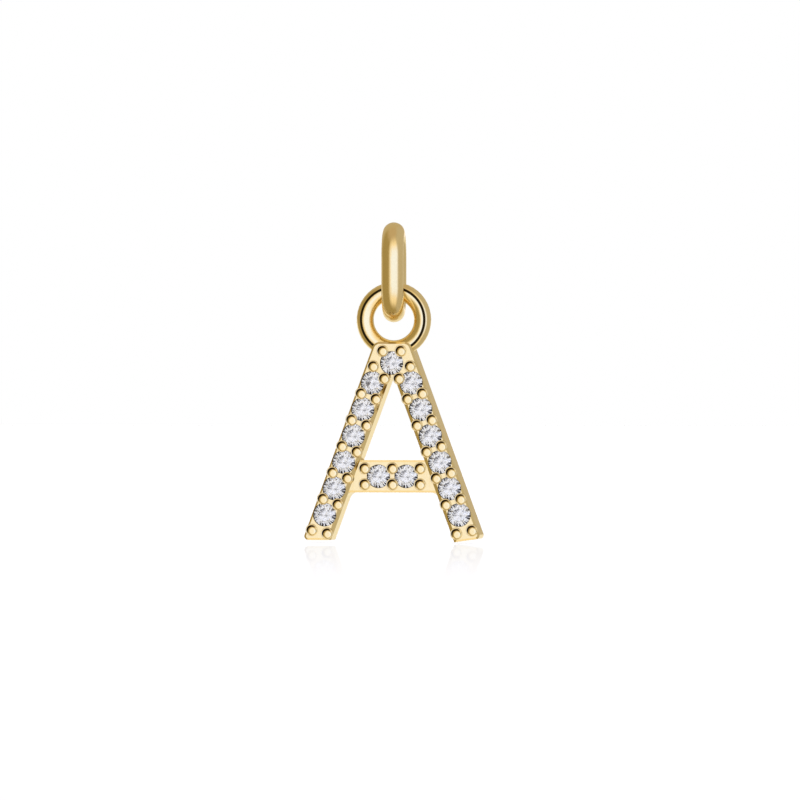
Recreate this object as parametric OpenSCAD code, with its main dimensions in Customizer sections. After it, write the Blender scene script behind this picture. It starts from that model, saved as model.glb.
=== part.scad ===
// Initial pendant: a letter A set with small round stones, hanging from an oval bail.
// A ring soldered to the letter's top links through the bail, and the letter swings there.
// Lengths are millimetres and angles are degrees. +Z is up and the letter faces -Y.
// The origin is the inside top of the bail, where a chain bears.

/* [Letter] */
// Height of the letter, from its flat top to its feet
letter_h = 9.9; // [8.5:0.1:13]
// Width of the letter across its feet
letter_w = 9.05; // [7.5:0.05:11]
// Width of the letter's flat top
top_w = 1.78; // [1.5:0.02:2.2]
// Thickness of the letter, from face to back
letter_t = 1.6; // [1.3:0.05:2.4]
// Distance from the letter's top down to the crossbar
bar_drop = 5.9; // [5:0.1:6.8]
// Metal between a seat and the outer edge of a leg
rim_out = 0.03; // [0.02:0.01:0.2]
// Metal between a seat and the inner edge of a leg
rim_in = 0.13; // [0.04:0.01:0.3]
// Metal between a seat and the edges of the crossbar
bar_rim = 0.22; // [0.05:0.01:0.4]
// Distance of the crossbar's face behind the legs' face
bar_back = 0.2; // [0:0.02:0.4]
// Width of the bevel along the legs' inner edges
bevel_in = 0.18; // [0.04:0.01:0.25]
// Width of the bevel along the legs' outer edges, their ends and the crossbar
bevel_out = 0.1; // [0.03:0.01:0.15]
// Radius of the corners at the letter's top
top_corner_r = 0.4; // [0.2:0.02:0.6]
// Radius of the outer corners at its feet
foot_corner_r = 0.2; // [0.16:0.01:0.3]
// Radius inside the point of the counter
point_fillet = 0.15; // [0.05:0.01:0.3]
// Radius in the two corners under the crossbar
bar_fillet = 0.42; // [0.1:0.02:0.6]
// Slope of the left foot's underside, up towards its outer corner
foot_tilt_left = 0; // [0:1:12]
// Slope of the right foot's underside, up towards its outer corner
foot_tilt_right = 8; // [0:1:12]
// Distance that the letter's middle sits behind its ring's
set_back = 0.1; // [0:0.02:0.3]

/* [Ring] */
// Thickness of the ring's wire
ring_wire = 0.86; // [0.6:0.02:1]
// Diameter of the ring's bore
ring_bore = 2.05; // [1.9:0.05:2.6]
// Height of the ring's bore above the letter's top
ring_lift = 0.085; // [0.05:0.005:0.3]
// Width of the line cut into the ring's face
line_w = 0.11; // [0.06:0.01:0.16]
// Depth of the line cut into the ring's face
line_depth = 0.14; // [0.06:0.01:0.2]
// Distance of that line outwards from the middle of the wire
line_out = 0.145; // [0.06:0.005:0.18]

/* [Bail] */
// Thickness of the bail's wire
bail_wire = 1.1; // [0.8:0.05:1.2]
// Outer height of the bail
bail_h = 5; // [4.6:0.02:6]
// Outer depth of the bail, from front to back
bail_depth = 3.5; // [3.3:0.05:4]
// Turn of the bail about the vertical, seen from above
bail_turn = 5.7; // [0:0.1:15]
// Running gap between the bail and the ring that hangs in it
hang_gap = 0.05; // [0.03:0.01:0.15]

/* [Stones] */
// Diameter of a stone across its girdle
stone_d = 1.15; // [1:0.01:1.25]
// Gap all round a stone in its seat
seat_gap = 0.015; // [0.01:0.001:0.03]
// Least metal wanted between two neighbouring seats
seat_wall = 0.22; // [0.15:0.01:0.4]
// Metal between the top stone's seat and the letter's top
top_margin = 0.46; // [0.3:0.01:0.7]
// Metal between a leg's last seat and the foot
foot_margin = 0.68; // [0.5:0.01:1]
// Height of a stone's table above the letter's face
table_proud = 0.05; // [0:0.01:0.12]
// Radius of the light hole behind each stone
light_hole_r = 0.3; // [0.15:0.01:0.4]

/* [Grains] */
// Diameter of the round grains of metal that hold the stones
grain_d = 0.52; // [0.4:0.01:0.6]
// Depth of a grain's centre under the letter's face
grain_sink = 0.03; // [0:0.01:0.1]
// Metal between a grain and the edge of a leg
grain_rim = 0.01; // [0:0.01:0.05]
// Height of the foot's pair of grains above the foot
foot_grain_lift = 0.42; // [0.3:0.01:0.6]
// Slope of the foot's pair of grains
foot_grain_tilt = 12; // [0:1:20]

/* [Hidden] */
$fn = 48;
GOLD = [0.93, 0.76, 0.42];
STONE = [0.93, 0.94, 0.97];

// A stone's own proportions, as shares of its diameter
table_share = 0.57;
crown_share = 0.15;
girdle_share = 0.03;
pavilion_share = 0.43;
// Places of the facets' inner corners, as shares of the stone's radius
star_reach = 0.8;
lower_reach = 0.25;
facets = 8;

// Grains round the top stone: angle above the horizontal, and distance as a share of the pitch
angle_col = 0;
reach_col = 1;
TOP_GRAINS = [[52.5, 0.54], [-10, 0.675], [-64.5, 0.614]];

// Steps that make up a rounded corner, and a length that passes through everything
round_steps = 4;
through = 40;

stone_r = stone_d / 2;
seat_r = stone_r + seat_gap;
crown_h = crown_share * stone_d;
girdle_h = girdle_share * stone_d;
pavilion_h = pavilion_share * stone_d;
table_r = table_share * stone_r;
// Heights of the facets' inner corners above the girdle's upper edge
half_facet = cos(180 / facets);
star_z = crown_h * (1 - star_reach * half_facet) / (1 - table_share);
lower_z = -girdle_h - pavilion_h * (1 - lower_reach * half_facet);
grain_r = grain_d / 2;

lean = atan((letter_w - top_w) / 2 / letter_h);
leg_w = 2 * seat_r + rim_out + rim_in;
bar_h = 2 * (seat_r + bar_rim);
pitch = 2 * seat_r + seat_wall;
// The same widths measured level instead of square to the leg
leg_level = leg_w / cos(lean);
row_in = (seat_r + rim_out) / cos(lean);

bail_bend_r = (bail_depth - bail_wire) / 2;
bail_straight = bail_h - bail_depth;
bail_top_z = bail_wire / 2 - bail_bend_r;
bail_low_z = bail_top_z - bail_straight;
bail_floor_z = bail_low_z - bail_bend_r + bail_wire / 2;

ring_r = (ring_bore + ring_wire) / 2;
hinge_z = bail_floor_z + hang_gap + ring_wire / 2;
ring_z = hinge_z - ring_r;
letter_z = ring_z - ring_bore / 2 - ring_lift;
face_y = set_back - letter_t / 2;
girdle_y = face_y - table_proud + crown_h;

// Half the letter's width at a distance below its top, to the outer edge, to the row of
// stones or to the middle of a leg
function outer_x(drop) = top_w / 2 + drop * tan(lean);
function row_x(drop) = outer_x(drop) - row_in;
function middle_x(drop) = outer_x(drop) - leg_level / 2;

// The first stone of each leg lies one pitch from the top stone
top_drop = top_margin + seat_r;
row_a = 1 + pow(tan(lean), 2);
row_b = row_x(0) * tan(lean) - top_drop;
row_c = pow(row_x(0), 2) + pow(top_drop, 2) - pow(pitch, 2);
first_drop = (-row_b + sqrt(pow(row_b, 2) - row_a * row_c)) / row_a;
last_drop = letter_h - foot_margin - seat_r;
leg_stones = max(2, round((last_drop - first_drop) / cos(lean) / pitch) + 1);
leg_step = (last_drop - first_drop) / (leg_stones - 1);

bar_mid = bar_drop + bar_h / 2;
bar_stones = max(1, floor(2 * (outer_x(bar_mid) - leg_level) / pitch));

// Places on the letter's face are [across, up, behind] from the middle of its top
function leg_drop(i) = first_drop + (i - 1) * leg_step;
function leg_spot(side, i) = [side * row_x(leg_drop(i)), -leg_drop(i), 0];
function bar_spot(i) = [(i - (bar_stones + 1) / 2) * pitch, -bar_mid, bar_back];
TOP_SPOT = [0, -top_drop, 0];
SPOTS = concat(
    [TOP_SPOT],
    [for (side = [-1, 1], i = [1:leg_stones]) leg_spot(side, i)],
    [for (i = [1:bar_stones]) bar_spot(i)]
);

grain_off = leg_w / 2 - grain_r - grain_rim;
function pair(middle, side, tilt) =
    [for (out = [-1, 1]) middle + out * grain_off * [side * cos(tilt), sin(tilt), 0]];
function leg_pair(side, drop, tilt) = pair([side * middle_x(drop), -drop, 0], side, tilt);
function leg_grains(side) = [
    for (i = [1:leg_stones - 1], spot = leg_pair(side, leg_drop(i + 0.5), lean)) spot,
    for (spot = leg_pair(side, letter_h - foot_grain_lift, foot_grain_tilt)) spot
];
function top_grains(side) = [
    for (row = TOP_GRAINS)
        TOP_SPOT
        + row[reach_col] * pitch * [side * cos(row[angle_col]), sin(row[angle_col]), 0]
];
bar_grains = [for (i = [0:bar_stones], spot = pair(bar_spot(i + 0.5), 1, 90)) spot];
GRAINS = concat(
    top_grains(-1), top_grains(1), leg_grains(-1), leg_grains(1), bar_grains
);

// Unit direction in the letter's plane, at an angle from straight up towards +X
function facing(angle) = [sin(angle), cos(angle)];
function unit(v) = v / norm(v);
function foot_tilt(side) = side < 0 ? foot_tilt_left : foot_tilt_right;

// Section of a leg or the crossbar, w wide and t deep, with bevels along its two sides
function section(w, t, left, right) = [
    [w / 2 - right, t / 2], [left - w / 2, t / 2], [-w / 2, t / 2 - left], [-w / 2, left - t / 2],
    [left - w / 2, -t / 2], [w / 2 - right, -t / 2], [w / 2, right - t / 2], [w / 2, t / 2 - right]
];

// Outline that fills the corner at p between directions u and v with a radius r
function fillet(p, u, v, r) =
    let (half = acos(u * v) / 2,
         centre = p + unit(u + v) * r / sin(half),
         from = atan2((p + u * r / tan(half) - centre)[1], (p + u * r / tan(half) - centre)[0]),
         to = atan2((p + v * r / tan(half) - centre)[1], (p + v * r / tan(half) - centre)[0]),
         turn = (to - from + 540) % 360 - 180)
    concat(
        [p - unit(u + v) * bevel_in],
        [for (step = [0:round_steps])
            centre + r * [cos(from + turn * step / round_steps),
                          sin(from + turn * step / round_steps)]]
    );

// All that lies beyond a plane through spot, facing an angle in the letter's plane and
// leaning towards the face
module beyond(spot, angle, towards_face = 0) {
    translate([spot[0], -letter_t / 2, spot[1]])
        rotate([0, angle, 0])
            rotate([towards_face, 0, 0])
                translate([-through, -through, 0])
                    cube([2 * through, 2 * through, through]);
}

// What the front edge of an end or corner loses
module front_loss(spot, angle) {
    beyond(spot - bevel_out * facing(angle), angle, 45);
}

// What an outer corner rounded to r loses, where edges facing two angles meet at spot
module corner_loss(spot, angle_a, angle_b, r) {
    share = r / (1 + facing(angle_a) * facing(angle_b));
    centre = spot - share * (facing(angle_a) + facing(angle_b));
    for (step = [1:round_steps - 1]) {
        angle = angle_a + (angle_b - angle_a) * step / round_steps;
        beyond(centre + r * facing(angle), angle);
        front_loss(centre + r * facing(angle), angle);
    }
}

// One leg, trimmed at the letter's top and along its foot
module leg(side) {
    foot_angle = side * (180 - foot_tilt(side));
    outer_angle = side * (90 - lean);
    foot_mid = [side * middle_x(letter_h), -letter_h];
    foot_share = leg_level / 2 / (1 + tan(foot_tilt(side)) * tan(lean));
    foot_corner = foot_mid + foot_share * [side, tan(foot_tilt(side))];
    left = side < 0 ? bevel_out : bevel_in;
    right = side < 0 ? bevel_in : bevel_out;
    difference() {
        translate([side * middle_x(0), 0, 0])
            rotate([0, -side * lean, 0])
                translate([0, 0, -letter_h / cos(lean) - leg_w])
                    linear_extrude(height = letter_h / cos(lean) + 2 * leg_w)
                        polygon(section(leg_w, letter_t, left, right));
        beyond([0, 0], 0);
        front_loss([0, 0], 0);
        corner_loss([side * top_w / 2, 0], 0, outer_angle, top_corner_r);
        beyond(foot_mid, foot_angle);
        front_loss(foot_mid, foot_angle);
        corner_loss(foot_corner, outer_angle, foot_angle, foot_corner_r);
    }
}

module crossbar() {
    reach = middle_x(bar_mid);
    translate([-reach, bar_back / 2, -bar_mid])
        rotate([0, 90, 0])
            linear_extrude(height = 2 * reach)
                polygon(section(bar_h, letter_t - bar_back, bevel_out, bevel_out));
}

// Metal in an inner corner, a little behind a face that lies back from the legs' face
module filler(outline, back = 0) {
    translate([0, back / 2, 0])
        rotate([90, 0, 0])
            linear_extrude(height = letter_t - back - 2 * bevel_in, center = true)
                polygon(outline);
}

module fillers() {
    point_drop = (leg_level - top_w / 2) / tan(lean);
    filler(fillet([0, -point_drop], -facing(lean), -facing(-lean), point_fillet));
    under = bar_drop + bar_h;
    for (side = [-1, 1])
        filler(fillet([side * (outer_x(under) - leg_level), -under],
                      [-side, 0], -facing(-side * lean), bar_fillet), bar_back);
}

// The ring's wire, with the fine line cut into its face
module ring() {
    line_floor = sqrt(pow(ring_wire / 2, 2) - pow(line_out, 2)) - line_depth;
    rotate([90, 0, 0])
        rotate_extrude()
            translate([ring_r, 0])
                difference() {
                    circle(d = ring_wire);
                    translate([line_out - line_w / 2, line_floor])
                        square([line_w, ring_wire]);
                }
}

// The hole that a stone drops into, open at the face, with its light hole out to the back
module seat() {
    front = crown_h + grain_d;
    cone_start = girdle_h + 2 * seat_gap;
    cone_h = pavilion_h * (1 - (light_hole_r - seat_gap) / stone_r);
    rotate([-90, 0, 0]) {
        translate([0, 0, -front])
            cylinder(r = seat_r, h = front + cone_start);
        translate([0, 0, cone_start])
            cylinder(r1 = seat_r, r2 = light_hole_r, h = cone_h);
        cylinder(r = light_hole_r, h = letter_t + grain_d);
    }
}

// Puts a copy at each place on the letter's face, y being its depth where the legs are
module at_spots(spots, y) {
    for (spot = spots)
        translate([spot[0], y + spot[2], letter_z + spot[1]])
            children();
}

// The letter with its ring and grains, cut for the stones. The cuts trim the grains too.
module letter() {
    color(GOLD)
        difference() {
            union() {
                translate([0, set_back, letter_z]) {
                    leg(-1);
                    leg(1);
                    crossbar();
                    fillers();
                }
                translate([0, 0, ring_z])
                    ring();
                at_spots(GRAINS, face_y + grain_sink)
                    sphere(r = grain_r);
            }
            at_spots(SPOTS, girdle_y)
                seat();
        }
}

// Half a turn of the bail's wire, bending upwards
module bail_bend() {
    rotate([90, 0, 90])
        rotate_extrude(angle = 180)
            translate([bail_bend_r, 0])
                circle(d = bail_wire);
}

module bail() {
    color(GOLD)
        rotate([0, 0, bail_turn]) {
            translate([0, 0, bail_top_z])
                bail_bend();
            translate([0, 0, bail_low_z])
                rotate([180, 0, 0])
                    bail_bend();
            for (side = [-1, 1])
                translate([0, side * bail_bend_r, bail_low_z])
                    cylinder(d = bail_wire, h = bail_straight);
        }
}

// Corners of a cut stone: table, crown, both edges of the girdle, pavilion and point
function round_points(r, z, count, offset) = [
    for (i = [0:count - 1])
        let (angle = 360 * (i + offset) / count)
        [r * cos(angle), r * sin(angle), z]
];
STONE_POINTS = concat(
    round_points(table_r, crown_h, facets, 0),
    round_points(star_reach * stone_r, star_z, facets, 0.5),
    round_points(stone_r, 0, 2 * facets, 0),
    round_points(stone_r, -girdle_h, 2 * facets, 0),
    round_points(lower_reach * stone_r, lower_z, facets, 0.5),
    [[0, 0, -girdle_h - pavilion_h]]
);
// First corner of each group, in the order above
star_0 = facets;
girdle_0 = 2 * facets;
under_0 = 4 * facets;
lower_0 = 6 * facets;
point_0 = 7 * facets;
function wrap(i, count) = (i + count) % count;
STONE_FACES = concat(
    [[for (i = [0:facets - 1]) facets - 1 - i]],
    [for (i = [0:facets - 1]) [i, wrap(i + 1, facets), star_0 + i]],
    [for (i = [0:facets - 1])
        [i, star_0 + i, girdle_0 + 2 * i, star_0 + wrap(i - 1, facets)]],
    [for (i = [0:facets - 1], half = [0, 1])
        [star_0 + i, girdle_0 + wrap(2 * i + half + 1, 2 * facets), girdle_0 + 2 * i + half]],
    [for (i = [0:2 * facets - 1])
        let (next = wrap(i + 1, 2 * facets))
        [girdle_0 + i, girdle_0 + next, under_0 + next, under_0 + i]],
    [for (i = [0:facets - 1], half = [0, 1])
        [lower_0 + i, under_0 + 2 * i + half, under_0 + wrap(2 * i + half + 1, 2 * facets)]],
    [for (i = [0:facets - 1])
        [lower_0 + wrap(i - 1, facets), under_0 + 2 * i, lower_0 + i, point_0]]
);

// A round brilliant, its table facing -Y, with its girdle's upper edge at the spot
module stone(spot) {
    color(STONE)
        translate([spot[0], girdle_y + spot[2], letter_z + spot[1]])
            rotate([90, 0, 0])
                polyhedron(STONE_POINTS, STONE_FACES);
}

letter();
bail();
stone(TOP_SPOT);  // stone_top
for (i = [1:leg_stones]) {
    stone(leg_spot(-1, i));
    stone(leg_spot(1, i));
}
for (i = [1:bar_stones])
    stone(bar_spot(i));
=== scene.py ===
"""Finish and studio of the initial pendant: a letter set with small stones, on its ring and bail."""

import math

import bpy
from mathutils import Euler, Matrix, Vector


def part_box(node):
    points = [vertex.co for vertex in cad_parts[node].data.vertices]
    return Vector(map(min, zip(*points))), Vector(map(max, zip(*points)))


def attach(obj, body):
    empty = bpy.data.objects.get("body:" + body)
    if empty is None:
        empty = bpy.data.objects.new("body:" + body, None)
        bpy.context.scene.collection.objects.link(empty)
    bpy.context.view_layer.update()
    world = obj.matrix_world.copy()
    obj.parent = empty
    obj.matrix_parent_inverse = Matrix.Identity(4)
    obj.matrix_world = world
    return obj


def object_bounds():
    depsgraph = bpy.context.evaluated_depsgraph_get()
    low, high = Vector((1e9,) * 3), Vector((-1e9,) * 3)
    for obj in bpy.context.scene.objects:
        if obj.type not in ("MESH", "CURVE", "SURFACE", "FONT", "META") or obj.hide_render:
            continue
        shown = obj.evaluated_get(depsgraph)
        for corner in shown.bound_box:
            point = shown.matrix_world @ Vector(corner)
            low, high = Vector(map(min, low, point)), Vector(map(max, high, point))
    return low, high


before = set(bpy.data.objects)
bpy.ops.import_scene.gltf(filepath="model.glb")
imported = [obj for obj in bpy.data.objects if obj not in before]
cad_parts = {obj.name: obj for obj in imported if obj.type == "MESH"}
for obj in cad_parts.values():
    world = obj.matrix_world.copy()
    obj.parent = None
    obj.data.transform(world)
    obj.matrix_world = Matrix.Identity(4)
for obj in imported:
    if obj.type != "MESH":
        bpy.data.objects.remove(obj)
cad_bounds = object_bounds()

MM = 0.001


def middle(name):
    """The middle of a node, across and up."""
    low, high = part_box(name)
    return Vector(((low.x + high.x) / 2, (low.z + high.z) / 2))


# The ring at the letter's top, and the fine line of painted shade round its face: radius and width,
# the softness of its edges, how far forward it lies, and the height over the ring's middle where it
# starts
RING_OUTER = 1.885 * MM
RING_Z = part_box("letter")[1].z - RING_OUTER
LINE_R = 1.6 * MM
LINE_W = 0.125 * MM
LINE_SOFT = LINE_W / 6
LINE_FRONT = -0.46 * MM
LINE_LOW = -1.38 * MM

# The letter's face, over which the stones' tables stand, and how far the crossbar's lies behind it
TABLE_PROUD = 0.05 * MM
FACE_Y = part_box("stone_top")[0].y + TABLE_PROUD
BAR_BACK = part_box("stone_bar_1")[0].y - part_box("stone_top")[0].y
# Grains of metal over the stones' edges: where they lie beside the rows of stones
PITCH = (middle("stone_bar_2") - middle("stone_bar_1")).x
LEG_STONES = 6
ROW_SHIFT = 0.053 * MM
GRAIN_OFF = 0.4 * MM
FOOT_DROP = 0.85 * MM
FOOT_TILT = math.radians(12)
# Angle and distance, as a share of the pitch, of those round the top stone
TOP_GRAINS = [(52.5, 0.54), (-10, 0.675), (-64.5, 0.614)]
# A grain is a low dome, pressed down and to the right in a wider rim
DOME_R = 0.216 * MM
DOME_H = 0.248 * MM
DOME_POWER = 7
DOME_END = 0.95
DOME_STEPS = 10
DOME_SHIFT = Vector((0.05, -0.05)) * MM
# The groove and the rim round the dome: radius, height, share of the shift, and darkness of painted
# shade
GROOVE_RINGS = [(0.209, 0.189, 0.95, 1.0), (0.237, 0.135, 0.4, 1.0), (0.248, 0.12, 0, 0.9),
                (0.256, 0.124, 0, 0.0), (0.28, 0.14, 0, 0.0), (0.29, 0.128, 0, 0.2),
                (0.307, 0.03, 0, 0.75), (0.307, 0.0, 0, 0.75), (0.29, -0.06, 0, 0.0)]
# Painted shade in the groove, darkest towards the upper left as if that side were shaded: where it is
# darkest, how dark it is in general and how much that changes round it
GROOVE_SHADE_TURN = math.radians(128)
GROOVE_SHADE_BASE = 0.2
GROOVE_SHADE_SWING = 1.4
GRAIN_SIDES = 40

# Two tones of the metal that its clouds run between, and painted shade for its hollows, grooves and line
GOLD_TONES = ((0.925, 0.76, 0.42), (0.94, 0.78, 0.455))
SATIN_TONES = ((0.915, 0.75, 0.42), (0.93, 0.77, 0.45))
HOLLOW_PAINTED_SHADE = (0.34, 0.27, 0.14)
GROOVE_PAINTED_SHADE = (0.03, 0.014, 0.002)
LINE_PAINTED_SHADE = (0.02, 0.012, 0.003)
# Each metal's roughness where it is smoothest and roughest, the strength of its relief, its tones
LETTER_FINISH = (0.09, 0.15, 0.11, GOLD_TONES)
GRAIN_FINISH = (0.08, 0.13, 0.05, GOLD_TONES)
BAIL_FINISH = (0.17, 0.24, 0.05, SATIN_TONES)
# Painted shade in hollows: how far a hollow's walls may lie apart, and the openness at which the
# shade is darkest and at which it ends
HOLLOW_REACH = 0.12 * MM
HOLLOW_SPAN = (0.15, 0.55)
HOLLOW_SAMPLES = 8
# Noise in the metal: scales of its clouds, fine marks, waves and long scratches, and the
# stretch and tilt of those scratches
CLOUD_SCALE = 350
FINE_SCALE = 9000
WAVE_SCALE = 2600
SCRATCH_SCALE = 16000
SCRATCH_STRETCH = (1, 1, 0.06)
SCRATCH_TILT = (0.3, 0.5, 0)
NOISE_SPAN = (0.3, 0.7)
RELIEF = 0.01 * MM
# How much the slow waves of a hand-worked face outweigh its fine scratches
WAVES = 5
# How far the bevels' normals turn towards the front, as a share of the way. A bevel is known by how
# much it faces the front. Where it faces right it stays as it is, wholly from the first share on.
EASE = 0.62
BEVEL_FRONT = 0.7
BEVEL_SPREAD = 0.12
BEVEL_SOFT = 0.08
BEVEL_RIGHT = (0.35, 0.15)

# The stones' tone and refraction, and the haze in their middles, which fades between two shares
# of the radius
STONE_TONE = (0.95, 0.96, 0.98)
STONE_IOR = 2.15
HAZE = 0.09
HAZE_REACH = (0.5, 0.85)
# Painted dark reflections, as spokes at a stone's edge: how many, the span of the noise that breaks
# them up, the angles they lie at and half the spread in degrees, the width of the soft ends of that
# spread, and where they start and are whole as shares of the radius
SPOKES = 7
SPOKE_BREAKS = (0.46, 0.53)
SPOKE_SIDES = [(162, 54), (-54, 60)]
SPOKE_SOFT = 24
SPOKE_REACH = (0.64, 0.82)
SPOKE_PAINTED_REFLECTION = (0.045, 0.045, 0.055)
SPOKE_ROUGH = 0.3

# Studio surroundings that the metal reflects. Each soft panel is an azimuth from straight
# ahead of the letter towards +X, an elevation, half its width and height, the widths of its
# soft edges across and up, all in degrees, and its colour.
SURROUND = (0.40, 0.31, 0.135)
PANELS = [
    (0, 90, 181, 35, 1, 30, (0.56, 0.44, 0.28)),
    (180, 30, 60, 34, 26, 12, (0.56, 0.47, 0.30)),
    (180, -22, 60, 22, 26, 8, (0.94, 0.86, 0.66)),
    (189, 2, 10, 3.5, 6, 3, (1.6, 1.45, 1.35)),
    (112, 0, 44, 62, 20, 20, (0.56, 0.50, 0.38)),
    (21, -3, 43, 58, 26, 38, (1.08, 0.94, 0.70)),
    (28, 2, 38, 26, 28, 35, (1.06, 1.19, 1.62)),
]
BACKDROP = (1.0, 1.0, 1.0)
# What the stones' facets gather: cells of bright and dark that lie all round
CELLS = 1.3
CELL_TONES = [(0.0, (0.008, 0.008, 0.008)), (0.32, (0.03, 0.03, 0.032)), (0.42, (0.26, 0.26, 0.275)),
              (0.66, (0.46, 0.46, 0.50)), (0.8, (1.3, 1.3, 1.4)), (1.0, (2.4, 2.4, 2.55))]
# The bright windows that light the middles of the stones: azimuth and elevation in degrees,
# and the cosines of the angles from there at which they start and are whole
STONE_WINDOWS = [(0, 0, 0.90, 0.995), (50, 32, 0.87, 0.95), (-52, 32, 0.90, 0.96)]
STONE_LIGHT = (1.05, 1.05, 1.08)

# Camera, turned a little towards +X, level, with a long lens
CAMERA_TURN = math.radians(9.3)
CAMERA_ACROSS = 0.305 * MM
CAMERA_HEIGHT = -7.785 * MM
FRAME_WIDTH = 40 * MM
LENS = 300
SENSOR = 36
# How many times nearer and farther than the pendant the camera still sees
CLIP = 20

# The floor lies just under the letter's feet
FLOOR_GAP = 0.06 * MM
FLOOR_HALF = 1.5
FLOOR_MATT = (0.487, 0.5, 0.541)
FLOOR_SHINE = (0.8, 0.9, 1)
FLOOR_ROUGH = 0.022
# The floor's gloss at its strongest, and where it ends and is whole, from the front to the back
FLOOR_GLOSS = 0.2
GLOSS_REACH = (-0.078, 0.005)
# The floor's own light: strength, and the angle that it seems to fill
FLOOR_LIGHT = 4.7
FLOOR_LIGHT_ANGLE = math.radians(60)

# The sockets for colours on a Mix node
MIX_FIRST, MIX_SECOND, MIX_RESULT = 6, 7, 2


def add_node(tree, kind, inputs=None, **settings):
    """A new node with its settings, and its sockets set to values or linked."""
    made = tree.nodes.new(kind)
    for name, value in settings.items():
        setattr(made, name, value)
    for key, value in (inputs or {}).items():
        if isinstance(value, bpy.types.NodeSocket):
            tree.links.new(value, made.inputs[key])
        else:
            made.inputs[key].default_value = value
    return made


def calculate(tree, operation, *values):
    return add_node(tree, "ShaderNodeMath", dict(enumerate(values)), operation=operation).outputs[0]


def separate(tree, vector):
    return add_node(tree, "ShaderNodeSeparateXYZ", {0: vector}).outputs


def fade(tree, value, start, end, low=0.0, high=1.0):
    """Runs smoothly from low at start to high at end."""
    return add_node(
        tree, "ShaderNodeMapRange",
        {"Value": value, "From Min": start, "From Max": end, "To Min": low, "To Max": high},
        interpolation_type="SMOOTHSTEP",
    ).outputs["Result"]


def band(tree, value, centre, half, soft):
    """1 where value lies within half of the centre, with soft edges."""
    off = calculate(tree, "ABSOLUTE", calculate(tree, "SUBTRACT", value, centre))
    return fade(tree, off, half + soft / 2, half - soft / 2)


def sector(tree, angle, centre, half, soft):
    """The same for angles in degrees, either way round."""
    off = calculate(tree, "ABSOLUTE", calculate(
        tree, "WRAP", calculate(tree, "SUBTRACT", angle, centre), 180, -180))
    return fade(tree, off, half + soft / 2, half - soft / 2)


def noise(tree, position, scale, detail):
    return add_node(tree, "ShaderNodeTexNoise",
                    {"Vector": position, "Scale": scale, "Detail": detail}).outputs["Fac"]


def blend_colour(tree, factor, first, second):
    mix = add_node(tree, "ShaderNodeMix", {"Factor": factor}, data_type="RGBA")
    for socket, value in zip((mix.inputs[MIX_FIRST], mix.inputs[MIX_SECOND]), (first, second)):
        if isinstance(value, bpy.types.NodeSocket):
            tree.links.new(value, socket)
        else:
            socket.default_value = (*value, 1)
    return mix.outputs[MIX_RESULT]


def studio_colour(tree, direction):
    """What the metal reflects: soft panels before a plain surround."""
    split = separate(tree, direction)
    ahead = calculate(tree, "MULTIPLY", split["Y"], -1)
    azimuth = calculate(tree, "DEGREES", calculate(tree, "ARCTAN2", split["X"], ahead))
    elevation = calculate(tree, "DEGREES", calculate(tree, "ARCSINE", split["Z"]))
    colour = SURROUND
    for turn, height, half_width, half_height, soft, soft_up, light in PANELS:
        mask = calculate(tree, "MULTIPLY", sector(tree, azimuth, turn, half_width, soft),
                         band(tree, elevation, height, half_height, soft_up))
        colour = blend_colour(tree, mask, colour, light)
    return colour


def sparkle_colour(tree, direction):
    """What the stones gather: cells of bright and dark, and the windows."""
    cells = add_node(tree, "ShaderNodeTexVoronoi", {"Vector": direction, "Scale": CELLS})
    pick = add_node(tree, "ShaderNodeSeparateColor", {0: cells.outputs["Color"]}).outputs[0]
    ramp = add_node(tree, "ShaderNodeValToRGB", {"Fac": pick})
    stops = ramp.color_ramp.elements
    for i in (0, -1):
        place, tone = CELL_TONES[i]
        stops[i].position = place
        stops[i].color = (*tone, 1)
    for place, tone in CELL_TONES[1:-1]:
        stops.new(place).color = (*tone, 1)
    colour = ramp.outputs["Color"]
    for turn, height, start, whole in STONE_WINDOWS:
        aim = Vector((0, -1, 0))
        aim.rotate(Euler((-math.radians(height), 0, math.radians(turn))))
        near = add_node(tree, "ShaderNodeVectorMath", {0: direction, 1: aim}, operation="DOT_PRODUCT")
        colour = blend_colour(tree, fade(tree, near.outputs["Value"], start, whole), colour, STONE_LIGHT)
    return colour


def make_world():
    world = bpy.data.worlds.new("studio")
    bpy.context.scene.world = world
    world.use_nodes = True
    tree = world.node_tree
    tree.nodes.clear()
    direction = add_node(tree, "ShaderNodeTexCoord").outputs["Generated"]
    path = add_node(tree, "ShaderNodeLightPath")
    studio = add_node(tree, "ShaderNodeBackground", {"Color": studio_colour(tree, direction)})
    sparkle = add_node(tree, "ShaderNodeBackground", {"Color": sparkle_colour(tree, direction)})
    backdrop = add_node(tree, "ShaderNodeBackground", {"Color": (*BACKDROP, 1)})
    lit = add_node(tree, "ShaderNodeMixShader", {
        0: path.outputs["Is Transmission Ray"], 1: studio.outputs[0], 2: sparkle.outputs[0]})
    mix = add_node(tree, "ShaderNodeMixShader", {
        0: path.outputs["Is Camera Ray"], 1: lit.outputs[0], 2: backdrop.outputs[0]})
    add_node(tree, "ShaderNodeOutputWorld", {"Surface": mix.outputs[0]})


def make_camera():
    data = bpy.data.cameras.new("camera")
    data.lens = LENS
    data.sensor_width = SENSOR
    camera = bpy.data.objects.new("camera", data)
    bpy.context.scene.collection.objects.link(camera)
    right = Vector((math.cos(CAMERA_TURN), math.sin(CAMERA_TURN), 0))
    back = Vector((math.sin(CAMERA_TURN), -math.cos(CAMERA_TURN), 0))
    distance = LENS * FRAME_WIDTH / SENSOR
    aim = right * CAMERA_ACROSS + Vector((0, 0, CAMERA_HEIGHT))
    camera.location = aim + back * distance
    camera.rotation_euler = (math.pi / 2, 0, CAMERA_TURN)
    data.clip_start = distance / CLIP
    data.clip_end = distance * CLIP
    bpy.context.scene.camera = camera


def new_material(name):
    material = bpy.data.materials.new(name)
    material.use_nodes = True
    tree = material.node_tree
    tree.nodes.clear()
    return material, tree


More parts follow.
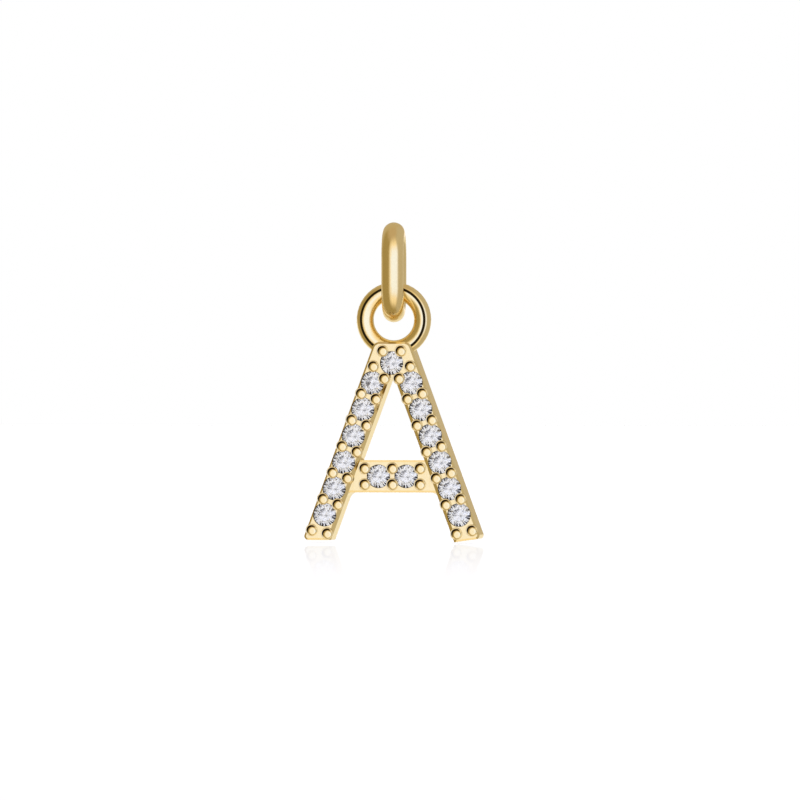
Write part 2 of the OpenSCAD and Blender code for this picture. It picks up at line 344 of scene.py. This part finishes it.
def floor_material():
    """White, with a gloss that fades out towards the camera, so that only the feet show in it."""
    material, tree = new_material("floor")
    matt = add_node(tree, "ShaderNodeBsdfDiffuse", {"Color": (*FLOOR_MATT, 1)})
    gloss = add_node(tree, "ShaderNodeBsdfGlossy",
                     {"Color": (*FLOOR_SHINE, 1), "Roughness": FLOOR_ROUGH})
    place = add_node(tree, "ShaderNodeTexCoord").outputs["Object"]
    share = fade(tree, separate(tree, place)["Y"], *GLOSS_REACH, 0.0, FLOOR_GLOSS)
    mix = add_node(tree, "ShaderNodeMixShader", {0: share, 1: matt.outputs[0], 2: gloss.outputs[0]})
    add_node(tree, "ShaderNodeOutputMaterial", {"Surface": mix.outputs[0]})
    return material


def make_floor():
    mesh = bpy.data.meshes.new("floor")
    level = cad_bounds[0].z - FLOOR_GAP
    corners = [(-1, -1), (1, -1), (1, 1), (-1, 1)]
    mesh.from_pydata([(x * FLOOR_HALF, y * FLOOR_HALF, level) for x, y in corners], [], [(0, 1, 2, 3)])
    mesh.materials.append(floor_material())
    floor = bpy.data.objects.new("floor", mesh)
    bpy.context.scene.collection.objects.link(floor)
    floor.visible_glossy = False


def make_floor_light():
    """Soft light from above that whitens the floor and stays out of the metal's reflections."""
    data = bpy.data.lights.new("floor_light", "SUN")
    data.energy = FLOOR_LIGHT
    data.angle = FLOOR_LIGHT_ANGLE
    data.use_shadow = False
    light = bpy.data.objects.new("floor_light", data)
    light.visible_glossy = False
    light.visible_transmission = False
    bpy.context.scene.collection.objects.link(light)


def ring_line(tree, position):
    """1 in the fine line round the ring's face, where the metal is painted dark as shade."""
    split = separate(tree, position)
    up = calculate(tree, "SUBTRACT", split["Z"], RING_Z)
    reach = calculate(tree, "SQRT", calculate(
        tree, "ADD", calculate(tree, "POWER", split["X"], 2), calculate(tree, "POWER", up, 2)))
    front = calculate(tree, "MULTIPLY", calculate(tree, "LESS_THAN", split["Y"], 0),
                      calculate(tree, "GREATER_THAN", split["Y"], LINE_FRONT))
    on_ring = calculate(tree, "MULTIPLY", front, calculate(tree, "GREATER_THAN", up, LINE_LOW))
    return calculate(tree, "MULTIPLY", on_ring, band(tree, reach, LINE_R, LINE_W / 2, LINE_SOFT))


def eased_normal(tree, position):
    """The normal, turned towards the front on the letter's bevels apart from those that face right."""
    normal = add_node(tree, "ShaderNodeNewGeometry").outputs["Normal"]
    split = separate(tree, normal)
    front = calculate(tree, "MULTIPLY", split["Y"], -1)
    bevels = calculate(tree, "MULTIPLY", band(tree, front, BEVEL_FRONT, BEVEL_SPREAD, BEVEL_SOFT),
                       fade(tree, split["X"], *BEVEL_RIGHT))
    height = separate(tree, position)["Z"]
    below_ring = calculate(tree, "LESS_THAN", height, RING_Z + LINE_LOW)
    share = calculate(tree, "MULTIPLY", calculate(tree, "MULTIPLY", bevels, below_ring), EASE)
    mix = add_node(tree, "ShaderNodeMix", {"Factor": share, "A": normal, "B": (0, -1, 0)},
                   data_type="VECTOR")
    eased = add_node(tree, "ShaderNodeVectorMath", {0: mix.outputs["Result"]}, operation="NORMALIZE")
    return eased.outputs[0]


def gold_colour(tree, position, tones):
    """Clouds of two tones, with painted shade in the hollows and painted shade where the grains are
    grooved.
    """
    clouds = noise(tree, position, CLOUD_SCALE, 3)
    tone = blend_colour(tree, fade(tree, clouds, *NOISE_SPAN), *tones)
    openness = add_node(tree, "ShaderNodeAmbientOcclusion",
                        {"Distance": HOLLOW_REACH}, samples=HOLLOW_SAMPLES).outputs["AO"]
    # Painted shade: the metal turns dark where the ambient occlusion finds a hollow
    tone = blend_colour(tree, fade(tree, openness, *HOLLOW_SPAN), HOLLOW_PAINTED_SHADE, tone)
    # The groove attribute holds painted shade, darkest on the grains' upper left
    groove = add_node(tree, "ShaderNodeAttribute", attribute_name="groove").outputs["Fac"]
    return blend_colour(tree, groove, tone, GROOVE_PAINTED_SHADE)


def relief(tree, position, fine):
    """The height of fine marks, long scratches and slow waves."""
    stretched = add_node(tree, "ShaderNodeMapping", {
        "Vector": position, "Scale": SCRATCH_STRETCH, "Rotation": SCRATCH_TILT}).outputs[0]
    scratches = noise(tree, stretched, SCRATCH_SCALE, 1)
    waves = calculate(tree, "MULTIPLY", noise(tree, position, WAVE_SCALE, 1), WAVES)
    return calculate(tree, "ADD", calculate(tree, "ADD", fine, scratches), waves)


def gold_material(name, finish, lined=False):
    """Polished gold with small changes of tone and fine scratches, with painted shade in its hollows."""
    smooth, rough, strength, tones = finish
    material, tree = new_material(name)
    position = add_node(tree, "ShaderNodeTexCoord").outputs["Object"]
    colour = gold_colour(tree, position, tones)
    eased = {}
    if lined:
        # The ring's fine line is painted shade: a near-black tone in the metal's colour
        colour = blend_colour(tree, ring_line(tree, position), colour, LINE_PAINTED_SHADE)
        eased = {"Normal": eased_normal(tree, position)}
    fine = noise(tree, position, FINE_SCALE, 2)
    bump = add_node(tree, "ShaderNodeBump", {
        "Strength": strength, "Distance": RELIEF, "Height": relief(tree, position, fine), **eased})
    shader = add_node(tree, "ShaderNodeBsdfPrincipled", {
        "Base Color": colour, "Metallic": 1.0, "Normal": bump.outputs["Normal"],
        "Roughness": fade(tree, fine, *NOISE_SPAN, smooth, rough)})
    add_node(tree, "ShaderNodeOutputMaterial", {"Surface": shader.outputs[0]})
    return material


def stone_spokes(tree, flat, reach):
    """1 in the painted dark reflections, spokes at a stone's edge."""
    split = separate(tree, flat)
    angle = calculate(tree, "DEGREES", calculate(tree, "ARCTAN2", split["Z"], split["X"]))
    outward = add_node(tree, "ShaderNodeVectorMath", {0: flat}, operation="NORMALIZE").outputs[0]
    sides = 0.0
    for turn, half in SPOKE_SIDES:
        sides = calculate(tree, "MAXIMUM", sides, sector(tree, angle, turn, half, SPOKE_SOFT))
    broken = calculate(tree, "MULTIPLY", sides,
                       fade(tree, noise(tree, outward, SPOKES, 1), *SPOKE_BREAKS))
    return calculate(tree, "MULTIPLY", broken, fade(tree, reach, *SPOKE_REACH))


def stone_material():
    """Clear stone, a little hazy in its middle, with spokes of painted dark reflection at its edge."""
    material, tree = new_material("stone")
    # From the stone's middle, so that its edge lies 1 away as seen from the front
    place = add_node(tree, "ShaderNodeTexCoord").outputs["Generated"]
    off = add_node(tree, "ShaderNodeVectorMath", {0: place, 1: (0.5, 0.5, 0.5)}, operation="SUBTRACT")
    flat = add_node(tree, "ShaderNodeVectorMath", {0: off.outputs[0], 1: (2, 0, 2)},
                    operation="MULTIPLY").outputs[0]
    reach = add_node(tree, "ShaderNodeVectorMath", {0: flat}, operation="LENGTH").outputs["Value"]
    clear = add_node(tree, "ShaderNodeBsdfPrincipled", {
        "Base Color": (*STONE_TONE, 1), "Roughness": fade(tree, reach, *HAZE_REACH, HAZE, 0.0),
        "IOR": STONE_IOR, "Transmission Weight": 1.0})
    # A dark matt shader that paints the dark reflections of the spokes
    matt = add_node(tree, "ShaderNodeBsdfPrincipled",
                    {"Base Color": (*SPOKE_PAINTED_REFLECTION, 1), "Roughness": SPOKE_ROUGH})
    spokes = stone_spokes(tree, flat, reach)
    mix = add_node(tree, "ShaderNodeMixShader", {0: spokes, 1: clear.outputs[0], 2: matt.outputs[0]})
    add_node(tree, "ShaderNodeOutputMaterial", {"Surface": mix.outputs[0]})
    return material


def grain_rings():
    """A grain's rings from its top outwards: radius, height, share of the shift, darkness of painted
    shade.
    """
    rings = []
    for step in range(1, DOME_STEPS + 1):
        reach = DOME_END * math.sin(math.pi / 2 * step / DOME_STEPS)
        height = (1 - reach ** DOME_POWER) ** (1 / DOME_POWER)
        rings.append((DOME_R * reach, DOME_H * height, 1, 0.0))
    rings += [(radius * MM, height * MM, share, dark) for radius, height, share, dark in GROOVE_RINGS]
    return rings


def grain_pair(spot, side, tilt, back=0.0):
    """Two grains on either side of a spot: across and up, and behind the letter's face."""
    across = Vector((side * math.cos(tilt), math.sin(tilt))) * GRAIN_OFF
    return [(spot + across, back), (spot - across, back)]


def grain_places():
    """The grains' middles, as in the CAD: across and up, and behind the letter's face."""
    places = []
    top = middle("stone_top")
    for side, word in ((-1, "left"), (1, "right")):
        row = [middle(f"stone_{word}_{i}") for i in range(1, LEG_STONES + 1)]
        run = row[-1] - row[0]
        lean = math.atan2(abs(run.x), -run.y)
        shift = Vector((-side * ROW_SHIFT, 0))
        for first, second in zip(row, row[1:]):
            places += grain_pair((first + second) / 2 + shift, side, lean)
        foot = row[-1] + Vector((side * math.tan(lean), -1)) * FOOT_DROP
        places += grain_pair(foot + shift, side, FOOT_TILT)
        for angle, reach in TOP_GRAINS:
            turn = math.radians(angle)
            out = Vector((side * math.cos(turn), math.sin(turn)))
            places.append((top + out * reach * PITCH, 0.0))
    bar = (middle("stone_bar_1") + middle("stone_bar_2")) / 2
    for step in (-1, 0, 1):
        places += grain_pair(bar + Vector((step * PITCH, 0)), 1, math.pi / 2, BAR_BACK)
    return places


def grain_corners(spot, face_y, rings):
    """A grain's corners, from its tip outwards ring by ring, and how much painted shade each of them
    has.
    """
    tip = spot + DOME_SHIFT
    corners = [(tip.x, face_y - DOME_H, tip.y)]
    darkness = [0.0]
    for radius, height, share, dark in rings:
        centre = spot + DOME_SHIFT * share
        for i in range(GRAIN_SIDES):
            turn = 2 * math.pi * i / GRAIN_SIDES
            corners.append((centre.x + radius * math.cos(turn), face_y - height,
                            centre.y + radius * math.sin(turn)))
            # Painted shade, strongest towards the upper left as if that side of the groove lay in shade
            facing = GROOVE_SHADE_BASE + GROOVE_SHADE_SWING * math.cos(turn - GROOVE_SHADE_TURN)
            darkness.append(dark * min(1, max(0, facing)))
    return corners, darkness


def grain_faces(start, ring_count):
    """The faces from a grain's tip, which is the corner numbered start, to its last ring."""
    faces = []
    for i in range(GRAIN_SIDES):
        after = (i + 1) % GRAIN_SIDES
        faces.append((start, start + 1 + i, start + 1 + after))
        for ring in range(ring_count - 1):
            inner = start + 1 + ring * GRAIN_SIDES
            outer = inner + GRAIN_SIDES
            faces.append((inner + i, outer + i, outer + after, inner + after))
    return faces


def make_grains():
    """The grains' turned domes, laid over those of the CAD letter, as one piece."""
    rings = grain_rings()
    corners, faces, darkness = [], [], []
    for spot, back in grain_places():
        faces += grain_faces(len(corners), len(rings))
        more_corners, more_darkness = grain_corners(spot, FACE_Y + back, rings)
        corners += more_corners
        darkness += more_darkness
    mesh = bpy.data.meshes.new("grains")
    mesh.from_pydata(corners, [], faces)
    mesh.polygons.foreach_set("use_smooth", [True] * len(mesh.polygons))
    # The painted shade of the grooves, kept on the corners
    attribute = mesh.attributes.new("groove", "FLOAT", "POINT")
    attribute.data.foreach_set("value", darkness)
    mesh.materials.append(gold_material("gold_grains", GRAIN_FINISH))
    grains = bpy.data.objects.new("grains", mesh)
    bpy.context.scene.collection.objects.link(grains)
    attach(grains, "pendant")


def dress_nodes():
    gold = gold_material("gold", LETTER_FINISH, lined=True)
    satin = gold_material("gold_bail", BAIL_FINISH)
    stone = stone_material()
    for name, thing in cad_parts.items():
        thing.data.materials.clear()
        if name.startswith("stone"):
            thing.data.materials.append(stone)
        else:
            thing.data.materials.append(satin if name == "bail" else gold)


def set_look():
    scene = bpy.context.scene
    scene.view_settings.view_transform = "Standard"
    scene.cycles.use_denoising = True
    scene.cycles.max_bounces = 24
    scene.cycles.transmission_bounces = 16
    scene.cycles.glossy_bounces = 8


make_world()
make_camera()
make_floor()
make_floor_light()
dress_nodes()
make_grains()
set_look()
